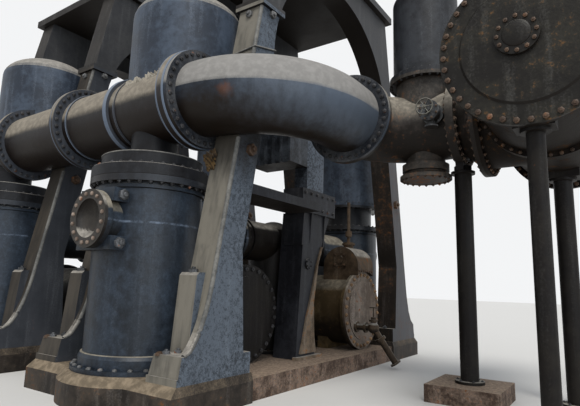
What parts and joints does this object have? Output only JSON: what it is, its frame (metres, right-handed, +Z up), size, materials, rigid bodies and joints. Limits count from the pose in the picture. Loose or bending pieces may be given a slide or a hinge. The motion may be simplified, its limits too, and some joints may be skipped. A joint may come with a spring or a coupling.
{
  "type": "vertical steam pumping engine, lower stage",
  "caption": "Lower stage of an old vertical steam pumping engine: two pairs of A-frames over pump chambers, a delivery main with a big elbow, and a surface condenser on columns.",
  "frame": {"origin": "on the floor, under the middle of the machine", "axes": "+X along the row of units towards the condenser, -Y is the front with the delivery main, +Z up"},
  "size_m": [12.677, 8.5796, 8.16],
  "materials": {
    "cast_blue": "old blue-grey paint on rough cast iron, dusty and stained",
    "dusty_iron": "old paint under a thick coat of beige dust",
    "dark_iron": "near-black oily cast iron with dust",
    "rusty_iron": "brown rust over cast iron",
    "masonry": "worn painted masonry with flaking edges"
  },
  "bodies": {
    "engine": {"masonry_plinth": "masonry", "column_block": "masonry", "bed_plate_front_1": "dark_iron", "bed_plate_front_2": "dark_iron", "bed_plate_rear_1": "dark_iron", "bed_plate_rear_2": "dark_iron", "front_leg_1": "cast_blue", "front_leg_2": "cast_blue", "front_leg_3": "cast_blue", "front_leg_4": "cast_blue", "rear_leg_1": "cast_blue", "rear_leg_2": "cast_blue", "rear_leg_3": "cast_blue", "rear_leg_4": "cast_blue", "frame_head_1": "cast_blue", "frame_head_2": "cast_blue", "pump_chamber_1": "cast_blue", "pump_chamber_2": "cast_blue", "rear_pump_chamber_1": "cast_blue", "rear_pump_chamber_2": "cast_blue", "port_cover_1": "cast_blue", "port_cover_2": "cast_blue", "rear_port_cover_1": "cast_blue", "rear_port_cover_2": "cast_blue", "main_tee_1": "dusty_iron", "main_tee_2": "dusty_iron", "main_pipe": "dusty_iron", "main_end_cover": "dusty_iron", "main_elbow": "dusty_iron", "return_bend": "rusty_iron", "reducer": "rusty_iron", "lower_branch": "rusty_iron", "air_vessel_1": "cast_blue", "air_vessel_2": "cast_blue", "rear_air_vessel_1": "cast_blue", "rear_air_vessel_2": "cast_blue", "small_air_vessel": "dark_iron", "gate_valve": "dark_iron", "condenser_shell": "dark_iron", "condenser_cover": "dark_iron", "manhole_cover": "dark_iron", "condenser_rear_cover": "dark_iron", "condenser_front_column": "dark_iron", "condenser_rear_column": "dark_iron", "main_column": "dark_iron", "front_drum": "dark_iron", "front_drum_cover": "dark_iron", "rear_drum": "rusty_iron", "rear_drum_cover": "rusty_iron", "suction_pipe_1": "dark_iron", "suction_pipe_2": "dark_iron", "valve_chest": "rusty_iron", "centre_column": "cast_blue", "guide_box": "dark_iron", "cross_ledge": "dark_iron", "drain_pipe": "rusty_iron"},
    "handwheel": {"handwheel": "dark_iron"},
    "drain_handle": {"drain_handle": "rusty_iron"}
  },
  "joints": [
    {"name": "handwheel_turn", "type": "hinge", "parent": "engine", "child": "handwheel", "pos_m": [3.8125, -1.32, 4.298], "axis": [0, -1, 0], "range_deg": [0, 2880]},
    {"name": "drain_handle_turn", "type": "hinge", "parent": "engine", "child": "drain_handle", "pos_m": [1.7835, 1.29, 1.202], "axis": [0, 0, 1], "range_deg": [0, 1440]}
  ]
}
